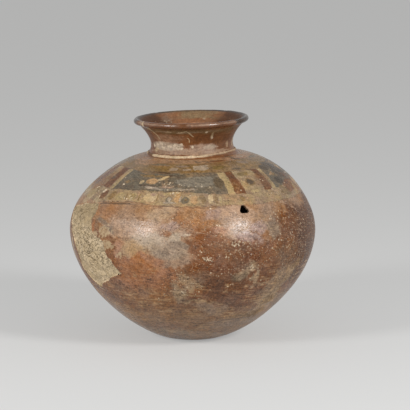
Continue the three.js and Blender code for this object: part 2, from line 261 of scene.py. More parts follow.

# Weathering under the frieze, with some painted highlight and painted shade among it: colour, strength in hundredths,
# angle, height, half width, half height and any slant.
WEATHER_AND_PAINTED_LIGHT = (
    (LOAM, 80, -10, 216, 60, 5), (RUSSET, 70, -68, 215.6, 14, 3, 20), (RUSSET, 80, 32, 216.2, 18, 2.6, -10),
    (PLUM, 70, 14, 214.6, 22, 2.4, -4), (SOOT, 60, 53, 216, 16, 6, -60), (SOOT, 90, 68, 198, 16, 22),
    # The ROSE blots at -28°, 149 and at 20° to 22°, 150 to 163 are pale pink tan where the two highlights fall,
    # partly a painted highlight.
    (ROSE, 90, -28, 149, 36, 13, 4), (OCHRE, 95, -46, 164, 21, 8, 7), (BUFF, 80, -15, 166, 13, 8),
    (RUSSET, 70, -7, 161, 11, 10), (OCHRE, 95, 3.5, 160, 14, 8), (ROSE, 90, 22, 163, 30, 11, -5),
    (SAND, 90, 38, 161, 14, 8, -6), (DEEP, 95, 54, 140, 32, 28, -9), (DEEP, 95, 70, 118, 28, 34, -10),
    (RED, 90, 5, 139, 16, 10), (ROSE, 80, 20, 150, 22, 9), (BLUSH, 90, 12.3, 148.5, 10, 5),
    (MAROON, 90, 27, 133, 17, 7, -5), (BRICK, 90, 1, 127, 9, 22), (DEEP, 80, 7, 119, 13, 12),
    (DEEP, 90, 20, 122, 16, 12, -4), (MAROON, 90, 11, 114, 9, 9), (RED, 90, 37, 108, 16, 9, -7),
    (UMBER, 80, 49, 112, 22, 14, -9), (EMBER, 95, -22, 108, 46, 12, 3), (EMBER, 95, -21, 91, 48, 14, 3),
    (PALE_SAND, 95, -27, 126, 19, 9, 4), (BLUSH, 90, -34, 128, 9, 6, 6), (BLUSH, 70, -36, 119, 8, 5, 30),
    (BRICK, 95, 4, 107.5, 14, 6), (DEEP, 95, 16, 88, 26, 14, -4), (UMBER, 70, 0, 93, 15, 10),
    (RUSSET, 80, -28, 67, 50, 14, 6), (RUSSET, 70, -47, 68, 14, 14, -51), (MAROON, 90, 26, 66, 22, 14, -9),
    (MAROON, 95, 3, 72, 13, 7), (DUN, 80, 10, 54, 17, 10, -5), (BUFF, 80, 4, 64, 23, 3, -3),
    (PALE_SAND, 70, -20, 17, 28, 9, -16), (DUN, 90, 31, 31, 36, 13, -2), (DUN, 70, 10, 12, 32, 10, -16),
    (DUN, 80, 46, 42, 18, 14, 22), (ASH, 95, 48, 59, 19, 15, 61), (DRIFT, 90, 49, 83, 33, 13, 32),
    (UMBER, 90, 41, 90, 13, 6, 37), (DEEP, 90, 35.5, 82, 8, 8, -9), (INK, 80, 22.7, 95, 8, 7),
    (DRIFT, 90, 28, 102, 8, 8, -6), (CRUST, 80, 31, 87, 4.6, 7, -8), (CRUST, 90, -5.2, 75, 8, 12),
    (DRIFT, 80, -1, 88, 11, 6), (PEWTER, 90, 41, 147, 12, 9, -7), (PEWTER, 95, -43, 149, 17, 3.6, -15),
    (ASH, 95, -12, 127, 27, 11, -30), (PALE_ASH, 80, -20, 138, 14, 9, 3), (PEWTER, 95, -5, 131, 8, 6),
    (PALE_ASH, 45, -6.5, 146, 7, 4, 20), (DUN, 90, -7.5, 108, 12, 6), (PEWTER, 70, -12, 121, 7, 4, -20),
    # The DEEP blot at 70°, 118 and the DUSK blots at 66° and 84° are dark stains, deepened as painted shade toward
    # the right side.
    (DUSK, 95, 66, 122, 32, 44), (DUSK, 70, 84, 150, 26, 30), (DEEP, 90, 24, 113, 14, 13), (DEEP, 80, 20, 126, 9, 7),
    # The MAUVE blots, here and a few lines down, lie beside the two highlights: pinkish smears, partly a painted glow
    # of the highlights.
    (MAUVE, 80, 28, 138, 17, 6, -10), (MAUVE, 70, 34, 148, 9, 6), (GARNET, 80, 9, 101, 22, 6),
    (GARNET, 70, 8, 115, 8, 6), (BLUSH, 80, -18, 114, 11, 5, -10), (RED, 80, -1, 127, 6, 8),
    (DUN, 80, -8, 152, 10, 6), (DUN, 70, 9, 163, 9, 5), (EMBER, 80, -9, 88, 12, 5), (DEEP, 70, 25, 56, 13, 6, -6),
    (GARNET, 80, 27, 112, 9, 6), (PEWTER, 90, -8.5, 123, 7, 6), (DEEP, 80, 37, 84, 12, 6, 20),
    (DEEP, 90, 41, 96, 9, 7, 20), (DRIFT, 60, 41, 38, 16, 9, 10), (RUSSET, 60, -22, 26, 36, 7),
    (RED, 70, -47, 62, 26, 12, -10), (EMBER, 90, -53, 142, 5, 7), (TAN, 80, 52, 166, 9, 6),
    (PALE_ASH, 70, -7, 140, 8, 5), (MAUVE, 50, 9, 164, 8, 4), (MAUVE, 60, -9, 153, 8, 5),
    (DRIFT, 60, 66, 50, 12, 22, 30), (DEEP, 60, -80, 70, 20, 30), (DEEP, 80, 128, 120, 50, 34),
    (EMBER, 80, 165, 96, 46, 22), (ASH, 80, 150, 146, 36, 16), (CRUST, 70, -165, 62, 50, 12, -12),
    (DEEP, 80, -130, 100, 40, 26), (OCHRE, 70, -112, 132, 34, 20), (ROSE, 70, -150, 150, 40, 14),
    (BUFF, 70, 110, 62, 46, 12, 8), (UMBER, 70, -100, 62, 40, 20), (BRICK, 80, -160, 116, 26, 18, 20),
    (DRIFT, 80, 104, 92, 28, 12, -24), (MAROON, 80, 176, 128, 22, 12), (DUN, 70, -140, 30, 50, 12),
    (ASH, 70, 120, 34, 40, 10), (OCHRE, 70, 100, 158, 26, 9),
)
# Grime, bared clay and painted shade that lie over the frieze, in the same order.
GRIME_AND_PAINTED_SHADE = (
    # The DEEP blot at -80°, the GARNET blot at 80° and the DEEP blot at 69°, 182 are painted shade on the shoulder's
    # left and right sides.
    (DEEP, 50, -80, 194, 34, 20), (GARNET, 35, 80, 184, 24, 18), (CREAM, 70, -72, 177, 12, 8, 20),
    (SMOKE, 70, 74, 204, 14, 6, -20), (RUSSET, 50, 60, 214, 14, 3, -30), (PALE_ASH, 80, 63, 215, 7, 1.5, -20),
    (DEEP, 80, 26, 214.4, 12, 1.6), (LOAM, 60, -50, 213, 20, 5, 10), (BAR_RED, 80, -57.5, 179.6, 7, 5.4, 60),
    (DRIFT, 60, -36, 174.2, 18, 1.6), (PLUM, 80, -63.5, 197, 3, 2.6), (SAND, 50, -74, 188, 8, 8),
    (DEEP, 65, 69, 182, 12, 8), (DUN, 60, -16, 192.6, 8, 2), (UMBER, 50, 50, 194, 13, 14, -12),
    (UMBER, 40, 28, 213, 22, 3.6), (DRIFT, 50, 5, 174.6, 22, 1.2),
)

# Where the wide layers gather, as angle, height, half width, half height and any slant.
SPREAD_SPOTS = {
    "film": (
        (-13, 129, 27, 12, -30), (-20, 138, 16, 11), (-8, 106, 12, 7), (41, 147, 13, 10), (150, 146, 38, 17),
        (-150, 120, 40, 16, 10),
    ),
    "deposit": (
        (49, 62, 26, 15, 55), (54, 87, 28, 9, 36), (38, 40, 30, 9, 10), (24, 96, 9, 7), (-5, 77, 10, 11),
        (-1, 89, 12, 6), (28, 103, 7, 10), (170, 60, 50, 14, 10), (-130, 70, 30, 11, -20),
    ),
    "speck": (
        (40, 148, 18, 18), (46, 128, 26, 26), (6, 119, 13, 16), (20, 118, 36, 26), (60, 130, 40, 44),
        (28, 104, 10, 16), (-8, 156, 16, 8), (-10, 192, 26, 8), (-7, 84, 20, 14), (130, 120, 60, 50),
    ),
}
# Lumps of lime that stand on the paint, chalky clusters, and places where the slip is scuffed through.
DRAWN_SPOTS = {
    "clod": (
        (-59.1, 183.3, 4.4, 2.3, 40), (-69.8, 184.6, 3.6, 1.7, 40), (-65, 181.8, 1.8, 1.2), (-47.5, 192.4, 2, 0.9),
        (-14.5, 196.5, 1.1, 1.3), (-60.1, 177.4, 1.5, 1.2), (9, 171.6, 1.1, 1.1), (27, 119, 1.3, 1),
        (140, 150, 3, 2, 20), (-150, 168, 2.4, 1.6),
    ),
    "chalk": (
        (6.5, 118.5, 7, 6), (-38, 180, 30, 6), (-10, 186, 10, 7), (41, 151, 3, 2.5), (28, 103, 6, 9),
        (-17.5, 105, 1.8, 1.3), (-5, 76, 6, 9), (20, 132, 12, 9), (12, 154, 10, 3), (36, 134, 3, 3),
        (-4, 168.6, 1.6, 1.6), (37, 119, 2, 2), (130, 110, 30, 20), (-150, 90, 30, 12),
    ),
    "scuff": (
        (-45, 141, 13, 7, 7), (-42, 125.5, 11, 5.4, 7), (-34.6, 117.2, 6.6, 4.8, 6), (-60, 172.5, 9, 5),
        (-72, 170, 12, 6, 30), (-84, 176, 14, 8), (-60, 70, 12, 2.4, -30), (-77, 112, 4, 26), (-50.5, 137, 6, 4),
    ),
}

# Thin strokes: start angle and height, end angle and height, bend and width.
PALE_STROKES = (
    (44, 176, 62, 160, 3, 0.9), (50, 171, 67, 150, 2, 0.8), (41, 169, 56, 156, 2, 0.8), (54, 178, 70, 166, 2, 0.8),
    (-50, 139.5, -37, 137.5, 1.5, 0.9), (-55, 153, -40, 148, -2, 0.8), (-9, 148, -3.4, 145, 1.6, 1.1),
    (-8, 143.4, -4, 146, -1.2, 0.8), (-40.5, 149.5, -33, 140.5, 1, 1.5), (-56, 172.4, -34, 177.2, 1.5, 0.9),
    (-9, 151, 0, 147, -1, 0.8), (1, 147, 10, 142.5, 0.6, 0.7), (-14, 140, -11.5, 136, 1.5, 1),
    (10, 137, 12.5, 132, 1.2, 0.9), (-30, 156, -18, 151, -1, 0.6), (-26, 160, -10, 154, 1, 0.5),
    (20, 40, 26, 31, 1, 0.6), (22, 34, 25, 28, -1, 0.5),
)
DARK_STROKES = (
    (-55.2, 186.6, -34.2, 190, 0.4, 1), (-25.5, 188.4, -7.3, 188.4, 0.2, 0.8), (5, 213, 30, 211, 1, 0.8),
    (-45.5, 206.2, -26, 205, 1, 0.9), (-26, 205, -14, 203.8, -0.8, 1), (-14, 203.8, -6.5, 200.4, -0.6, 1.1),
    (-55, 169.8, -35, 174.4, 1.2, 2), (7.5, 172.4, 17, 172.2, 0.3, 1.4), (-24, 173.6, 6, 171.8, 0.4, 0.9),
    (-38, 146.5, -31, 138.5, 1, 0.8), (3, 88, 5, 74, 2, 0.8), (28, 36, 50, 28.5, 4, 1),
)
# Dark cracks in the bared paste.
CRACKS = (
    (-60.5, 106.5, -52, 102.5, 0.8, 1.5), (-62, 112, -56, 110.5, -1, 1), (-66, 126, -58, 123, 1.5, 0.9),
    (-57, 121, -51, 117, 1, 1), (-60, 133, -56, 127, -1, 0.9), (-66, 138, -60, 134, 1, 0.8),
    (-54, 113, -50, 108, 1, 1), (-65, 118, -60, 116, 1, 0.8), (-50, 124, -47, 120, 0.6, 0.8),
    (-62, 146, -58, 140, 1, 0.7), (-70, 152, -63, 158, 1, 0.7), (-66, 160, -59, 165, -1, 0.8),
    (-57, 132, -53, 128, 1, 0.8), (-58, 100, -52, 96, 1, 0.6), (-64, 95, -55, 90, 1, 0.5),
)
# Curls that rootlets etched, strewn over a stretch of angles and heights: how many, seed and the stretch.
ROOTLETS = ((70, 5, (-4, 66), (72, 164)), (26, 6, (-24, 4), (96, 142)), (60, 7, (70, 330), (60, 165)))
ROOTLET_LENGTHS = (2.5, 9)
ROOTLET_BENDS = (-2, 2)
ROOTLET_WIDTHS = (0.35, 0.8)
ROOTLET_RADIUS = 130

# Marks on the neck's outside and in the mouth, in the order of the weathering's.
NECK_MARKS = (
    (RUSSET, 60, -34, 240, 24, 6), (NECK_OLIVE, 60, -16, 249, 56, 4.2), (CRUST, 30, -2, 248, 16, 1.6),
    (CRUST, 30, 28, 249, 12, 1.6), (CRUST, 30, -34, 248.6, 12, 1.4), (NECK_OLIVE, 60, 44, 247, 26, 5),
    # NECK_DARK at -66° and 66° darkens the neck's two sides: painted shade.
    (NECK_DARK, 95, 34, 240, 26, 7), (NECK_DARK, 60, -66, 240, 12, 12), (NECK_DARK, 70, 66, 242, 12, 12),
    (SAND, 80, -29, 224, 34, 3.4), (SAND, 70, 20, 223.4, 34, 2.6), (DUN, 60, 18, 229.4, 19, 3.8, -2),
    (PALE_ASH, 70, 25, 229, 7, 2.2), (DUN, 40, -2, 226, 10, 2.6), (PALE_ASH, 85, -38, 230.6, 22, 5.2),
    (CHALK_WHITE, 100, -63, 229.5, 1.7, 1.8), (CHALK_WHITE, 90, -54, 231, 2.2, 1.5),
    (CHALK_WHITE, 90, -45.5, 233, 2.7, 1.6), (CHALK_WHITE, 95, -43.5, 228.6, 2.6, 1.7),
    (CHALK_WHITE, 100, -33, 231, 2.8, 1.9), (CHALK_WHITE, 90, -24.5, 232, 2.6, 1.7),
    (CHALK_WHITE, 100, -19.5, 229, 2.2, 2.2), (BARK, 90, -19.5, 229, 0.8, 0.8),
    (CHALK_WHITE, 80, -15, 232.6, 1.9, 1.2), (CHALK_WHITE, 90, -14, 228.4, 1.7, 1.4),
    (PALE_CREAM, 90, -57, 226, 3, 2.4), (CHALK_WHITE, 100, 1.6, 230, 1.3, 1.3),
    (CHALK_WHITE, 100, 17.8, 247.9, 1.3, 1.2), (CREAM, 100, 27, 243.3, 1.7, 4.6, -6),
    (CHALK_WHITE, 80, 28, 240, 1.1, 1.6), (BUFF, 50, 58, 230, 3, 4), (PALE_CREAM, 75, 78, 230, 2.2, 6, -8),
    (BUFF, 80, -13, 247.4, 5, 1), (BUFF, 60, -30, 248, 3, 0.8), (SAND, 80, 150, 226, 30, 4),
    (DOVE, 80, 205, 232, 20, 5), (NECK_OLIVE, 70, 170, 247, 50, 5),
)
MOUTH_MARKS = (
    (BARK, 60, 172, 253, 26, 3.4), (MOUTH_DARK, 95, -108, 247, 36, 15), (MOUTH_DARK, 90, 110, 248, 30, 14),
    (DRIFT, 35, -147, 251, 7, 4), (CRUST, 90, -149, 249.8, 1.6, 1), (CRUST, 90, -144, 248.4, 1.3, 0.9),
    (CRUST, 90, -152, 248.2, 1.2, 0.9), (CRUST, 90, -142, 250, 1.1, 0.8), (CRUST, 90, 163, 249.8, 1.6, 1.1),
    (EMBER, 40, 186, 242, 40, 4),
)
NECK_STROKES = (
    (-58, 253, -52, 248.7, 0.4, 2.6), (-52, 248.7, -46.6, 239.1, 0.8, 2), (-15.5, 248.6, -5, 249.6, -0.6, 1.1),
    (-5, 249.6, 2.9, 241.7, 0.6, 1.4), (-4, 240, -2, 235, 1, 1.2), (-30, 249, -24, 248, 0.3, 0.9),
)
# Stains and rubbed places round the lip and the luted ring, with painted shade at the lip's two ends and far side:
# colour, strength in hundredths, angle and half width.
LIP_STAINS_AND_SHADE = (
    (LIP_PAINTED_SHADE, 90, -96, 26), (LIP_PAINTED_SHADE, 95, 94, 32), (LIP_PAINTED_SHADE, 80, 150, 40), (NECK_OLIVE, 70, 190, 30),
    (LIP_PAINTED_SHADE, 60, -140, 24), (BUFF, 25, -62, 4), (LIP_PAINTED_SHADE, 80, 60, 9),
)
FILLET_STAINS = ((PALE_SAND, 70, 48, 30), (UMBER, 80, -70, 9), (BARK, 60, 120, 30), (UMBER, 60, 200, 20))


def smooth(value, low, high):
    t = np.clip((value - low) / (high - low), 0, 1)
    return t * t * (3 - 2 * t)


def wrapped(angle):
    return (angle + 180) % 360 - 180


def lattice_noise(points, seed):
    """Smooth values from -1 to 1 at points given in cells."""
    cell = np.floor(points).astype(np.int64)
    local = points - cell
    fade = local**3 * (local * (local * 6 - 15) + 10)
    total = 0
    for corner in itertools.product((0, 1), repeat=3):
        c = cell + corner
        code = (c[..., 0] * 73856093) ^ (c[..., 1] * 19349663) ^ (c[..., 2] * 83492791) ^ (seed * 2654435)
        code = ((code ^ (code >> 13)) * 1274126177) & 0x7FFFFFFF
        value = ((code ^ (code >> 15)) & 0xFFFF) / 32767.5 - 1
        total = total + value * np.prod(np.where(corner, fade, 1 - fade), axis=-1)
    return total


def noise(points, size, octaves, seed):
    """Layered noise whose largest lumps measure size."""
    return sum(lattice_noise(points * (2**octave / size), seed + octave) / 2**octave for octave in range(octaves))


def waves(points, layers):
    return sum(height * noise(points, size, octaves, seed) for height, size, octaves, seed in layers)


class Outline:
    """A wall's outer line, walked by length: radius, height and outward direction at each place."""

    def __init__(self, *curves):
        t = np.linspace(0, 1, 2001)[:, None]
        stretches = []
        for p0, p1, p2, p3 in (np.array(curve, float) for curve in curves):
            stretches.append((1 - t) ** 3 * p0 + 3 * (1 - t) ** 2 * t * p1 + 3 * (1 - t) * t**2 * p2 + t**3 * p3)
        self.points = np.concatenate([stretches[0]] + [s[1:] for s in stretches[1:]])
        self.places = np.r_[0, np.cumsum(np.hypot(*np.diff(self.points, axis=0).T))]
        self.length = self.places[-1]
        tangent = np.gradient(self.points, axis=0)
        tangent /= np.linalg.norm(tangent, axis=1)[:, None]
        self.out = np.c_[tangent[:, 1], -tangent[:, 0]]

    def at(self, place):
        return [np.interp(place, self.places, column) for column in (*self.points.T, *self.out.T)]

    def reach(self, height):
        return np.interp(height, self.points[:, 1], self.places)

    def lifted(self, place, lift):
        radius, height, out_r, out_z = self.at(place)
        return radius + out_r * lift, height + out_z * lift


globe = Outline(GLOBE_BELOW, GLOBE_ABOVE)
neck = Outline(NECK)


def placed(angle, radius, height):
    """Points in metres, with the upper jar's lean."""
    turn = np.radians(angle)
    x = radius * np.sin(turn)
    y = -radius * np.cos(turn)
    tilt = math.tan(math.radians(LEAN)) * smooth(height, LEAN_START, LEAN_FULL)
    shift = tilt * np.maximum(0, height - LEAN_PIVOT)
    return np.stack(np.broadcast_arrays(x - shift, y, height + x * tilt), axis=-1) * MM


def steps_round():
    """The angles of one turn, close together on the picture side."""
    low, high = FINE_SIDE
    fine = np.linspace(low, high, round((high - low) / FINE_STEP), endpoint=False)
    coarse = np.linspace(high, low + 360, round((360 + low - high) / COARSE_STEP), endpoint=False)
    return np.concatenate([fine, coarse])


ROUND = steps_round()


def off_stretch(x, y, ax, ay, bx, by):
    """Distance to a straight stretch from a to b."""
    share = ((x - ax) * (bx - ax) + (y - ay) * (by - ay)) / ((bx - ax) ** 2 + (by - ay) ** 2 + 1e-9)
    share = np.clip(share, 0, 1)
    return np.hypot(x - ax - share * (bx - ax), y - ay - share * (by - ay))


def polygon_distance(corners, u, v, u_scale):
    """Signed distance to a closed outline, positive inside. u and the corners' first values are scaled alike."""
    nearest = np.full(np.shape(u), np.inf)
    inside = np.zeros(np.shape(u), bool)
    for (ua, va), (ub, vb) in zip(corners, corners[1:] + corners[:1]):
        nearest = np.minimum(nearest, off_stretch(u * u_scale, v, ua * u_scale, va, ub * u_scale, vb))
        crosses = (va > v) != (vb > v)
        with np.errstate(divide="ignore", invalid="ignore"):
            inside ^= crosses & (u < (ub - ua) * (v - va) / (vb - va) + ua)
    return np.where(inside, nearest, -nearest)


class Wall:
    """Places on a wall, as drawn marks see them: angle, length along the wall, and radius."""

    def __init__(self, outline, angle, place, radius):
        self.outline = outline
        self.angle, self.place, self.radius = angle, place, radius

    def strayed(self, points, far, near, seed):
        """The same places after wandering, which breaks up drawn edges."""
        across, up = (waves(points, ((far, *STRAY_WIDE, s), (near, *STRAY_SMALL, s + 3))) for s in (seed, seed + 6))
        return Wall(self.outline, self.angle + np.degrees(across / self.radius), self.place + up, self.radius)

    def reach(self, at, height, half_width, half_height, slant=0):
        """0 at a blot's middle and 1 at its edge."""
        across = np.radians(wrapped(self.angle - at)) * self.radius
        up = self.place - self.outline.reach(height)
        c, s = math.cos(math.radians(slant)), math.sin(math.radians(slant))
        return np.hypot((across * c + up * s) / half_width, (up * c - across * s) / half_height)

    def spots(self, marks):
        """Highest over all marks of 1 at a mark's middle, 0 at its edge and below 0 outside."""
        return np.maximum.reduce([np.maximum(1 - self.reach(*mark), -3) for mark in marks])

    def layered(self, marks, soft):
        """Blots laid over one another: their colour, and as a fourth value how much covers the ground."""
        cover, pulls = np.zeros(self.angle.shape), np.full(self.angle.shape, 1e-9)
        colour = hint = np.zeros(self.angle.shape + (3,))
        for paint, strength, *blot in marks:
            reach = self.reach(*blot)
            share = strength / 100 * smooth(-reach, -1 - soft, -1 + soft)
            pull = np.exp(-6 * np.minimum(reach, 3))
            hint = hint + pull[..., None] * np.array(paint)
            pulls = pulls + pull
            colour = colour * (1 - share)[..., None] + share[..., None] * np.array(paint)
            cover = cover * (1 - share) + share
        colour = (colour + HINT * hint / pulls[..., None]) / (cover + HINT)[..., None]
        return np.concatenate([colour, cover[..., None]], axis=-1)

    def strokes(self, strokes):
        """Signed distance to bent strokes, positive inside."""
        best = np.full(self.angle.shape, -FAR)
        t = np.linspace(0, 1, STROKE_CORNERS)
        for from_angle, from_height, to_angle, to_height, bend, width in strokes:
            start, end = self.outline.reach(from_height), self.outline.reach(to_height)
            radius = float(self.outline.at((start + end) / 2)[0])
            span = np.array([math.radians(wrapped(to_angle - from_angle)) * radius, end - start])
            sideways = np.array([-span[1], span[0]]) / max(np.hypot(*span), 1e-6)
            path = t[:, None] * span + (4 * t * (1 - t) * bend)[:, None] * sideways
            u = np.radians(wrapped(self.angle - from_angle)) * self.radius
            v = self.place - start
            margin = STROKE_MARGIN + abs(bend)
            near = (u > path[:, 0].min() - margin) & (u < path[:, 0].max() + margin)
            near &= (v > path[:, 1].min() - margin) & (v < path[:, 1].max() + margin)
            if near.any():
                distances = [off_stretch(u[near], v[near], *a, *b) for a, b in zip(path[:-1], path[1:])]
                best[near] = np.maximum(best[near], width / 2 - np.minimum.reduce(distances))
        return best


def rootlet_strokes():
    """Short curls strewn at random over the stretches that ROOTLETS names."""
    strokes = []
    for count, seed, angles, heights in ROOTLETS:
        dice = np.random.RandomState(seed)
        for _ in range(count):
            angle, height = dice.uniform(*angles), dice.uniform(*heights)
            length, heading = dice.uniform(*ROOTLET_LENGTHS), dice.uniform(0, math.tau)
            turn = math.degrees(length * math.cos(heading) / ROOTLET_RADIUS)
            rise = length * math.sin(heading)
            bend, width = dice.uniform(*ROOTLET_BENDS), dice.uniform(*ROOTLET_WIDTHS)
            strokes.append((angle, height, angle + turn, height + rise, bend, width))
    return strokes


def at_angles(stations, angle):
    """A value given at some angles, in between them."""
    return np.interp(wrapped(angle), *np.array(stations, float).T)


def frieze(wall):
    """Signed distances, positive inside, of the bands, panels, bars and stripes round the shoulder."""
    foot, ledge, head = (globe.reach(at_angles(line, wall.angle)) for line in (BAND_FOOT, BAND_HEAD, PANEL_HEAD))
    rise = (wall.place - ledge) / (head - ledge)
    storey = np.minimum(wall.place - ledge, head - wall.place)

    def strips(spans):
        best = np.full(wall.angle.shape, -FAR)
        for head_left, foot_left, head_right, foot_right in spans:
            left = foot_left + (head_left - foot_left) * rise
            right = foot_right + (head_right - foot_right) * rise
            off_middle = np.abs(wrapped(wall.angle - (left + right) / 2))
            best = np.maximum(best, np.radians((right - left) / 2 - off_middle) * wall.radius)
        return np.minimum(best, storey)

    distances = {
        "cream": np.minimum(wall.place - foot, head - wall.place),
        "border": np.minimum(wall.place - head, globe.reach(BORDER_HEAD) - wall.place),
        "panel": strips(PANELS),
        "bar": strips(BARS),
        "stripe": strips(STRIPES),
    }
    return {name: np.clip(distance, -FAR, FAR) for name, distance in distances.items()}


def all_figures():
    """The frieze's figures in every panel and those that come once, all at full strength."""
    figures = [(paint, at + turn, *rest) for turn in REPEATS for paint, at, *rest in FIGURES]
    return [(paint, 100, *blot) for paint, *blot in (*figures, *DIVIDER_FIGURES)]


def flake_distance(wall, points):
    """Signed distance to the flaked patch's jagged edge, positive where the skin is gone."""
    corners = [(math.radians(a), float(globe.reach(h))) for a, h in FLAKE_EDGE]
    edge = polygon_distance(corners, np.radians(wrapped(wall.angle)), wall.place, wall.radius)
    return np.clip(edge + waves(points, FLAKE_EDGE_WAVES), -FAR, FAR)


def fields(angle, place):
    """Everything that the paint and the relief need to know about places on the globe's outside."""
    angle, place = np.broadcast_arrays(angle, place)
    radius, height, _, _ = globe.at(place)
    points = placed(angle, radius, height) / MM
    wall = Wall(globe, angle, place, radius)
    drawn = wall.strayed(points, *DRAWN_STRAY)
    spread = wall.strayed(points, *SPREAD_STRAY)
    known = {
        **frieze(drawn),
        "figures": drawn.layered(all_figures(), CRISP),
        "weather_and_painted_light": spread.layered(WEATHER_AND_PAINTED_LIGHT, BLURRED),
        "grime_and_painted_shade": drawn.layered(GRIME_AND_PAINTED_SHADE, SOFT),
        "pale_stroke": drawn.strokes([*PALE_STROKES, *rootlet_strokes()]),
        "dark_stroke": drawn.strokes(DARK_STROKES),
        "crack": drawn.strokes(CRACKS),
        "flake": flake_distance(wall, points),
        "height": height,
    }
    for places, spots in ((spread, SPREAD_SPOTS), (drawn, DRAWN_SPOTS)):
        known.update({name: places.spots(marks) for name, marks in spots.items()})
    return known, points


def globe_lift(known, points, place):
    """How far the outside stands off the turned wall: hand-made unevenness, flaking and crusts."""
    gone = smooth(known["flake"], -0.3, 0.9)
    lift = waves(points, HAND_WAVES)
    lift = lift + CRUST_RISE * smooth(known["deposit"], -0.1, 0.5) * (0.4 + waves(points, CRUST_GRAIN)) * (1 - gone)
    lift = lift + CHALK_RISE * smooth(known["chalk"], 0.1, 0.8) * (0.6 + waves(points, CHALK_GRAIN))
    lift = lift + CLOD_RISE * smooth(known["clod"], -0.1, 0.5)
    floor = waves(points, FLAKE_FLOOR_WAVES) + waves(points @ FLAKE_GRAIN, FLAKE_RIDGES) - FLAKE_DEPTH
    floor = floor - CRACK_DEPTH * smooth(known["crack"], -0.8, 0.3)
    calm = smooth(place, 0, CALM_BELOW) * smooth(globe.length - place, 0, CALM_ABOVE)
    return (lift * (1 - gone) + floor * gone) * calm


def outer_surface(angle, place):
    """The finished outside at places on the globe, in metres, and what is known of it."""
    known, points = fields(angle, place)
    return placed(angle, *globe.lifted(place, globe_lift(known, points, place))), known


def grid_normals(points):
    """Outward directions of a grid of rings that closes on itself round the jar."""
    round_step = np.roll(points, -1, axis=1) - np.roll(points, 1, axis=1)
    normals = np.cross(round_step, np.gradient(points, axis=0))
    return normals / np.maximum(np.linalg.norm(normals, axis=-1), 1e-12)[..., None]


def ring_loop(count, closed=True):
    """Quads over consecutive rings, each ring a turn of vertices."""
    n = len(ROUND)
    first = np.arange(count if closed else count - 1)[:, None] * n
    second = (first + n) % (count * n)
    i = np.arange(n)[None]
    j = (i + 1) % n
    return np.stack([first + i, first + j, second + j, second + i], axis=-1)


def ring_cap(ring, pole, upward):
    """Triangles from one ring to a pole on the axis."""
    n = len(ROUND)
    i = np.arange(n)
    j = (i + 1) % n
    a, b = (ring * n + i, ring * n + j) if upward else (ring * n + j, ring * n + i)
    return np.stack([a, b, np.full(n, pole)], axis=-1).tolist()


def make_piece(name, vertices, faces, normals, attributes, material):
    mesh = bpy.data.meshes.new(name)
    mesh.from_pydata(vertices.tolist(), [], faces)
    mesh.shade_smooth()
    for key, values in attributes.items():
        kind, field = ("FLOAT_COLOR", "color") if values.ndim == 2 else ("FLOAT", "value")
        values = np.ascontiguousarray(values, np.float32).reshape(-1)
        mesh.attributes.new(key, kind, "POINT").data.foreach_set(field, values)
    mesh.materials.append(material)
    mesh.normals_split_custom_set_from_vertices(normals.tolist())
    piece = bpy.data.objects.new(name + "_surface", mesh)
    bpy.context.scene.collection.objects.link(piece)
    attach(piece, "root")
    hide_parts(name)


def ring_piece(name, grid, normals, known, material):
    """A piece whose rings close on themselves both ways."""
    attributes = {key: values.reshape((-1, 4) if values.ndim == 3 else -1) for key, values in known.items()}
    quads = ring_loop(len(grid)).reshape(-1, 4).tolist()
    make_piece(name, grid.reshape(-1, 3), quads, normals.reshape(-1, 3), attributes, material)


def nearest(places, place):
    return int(np.argmin(np.abs(places - place)))


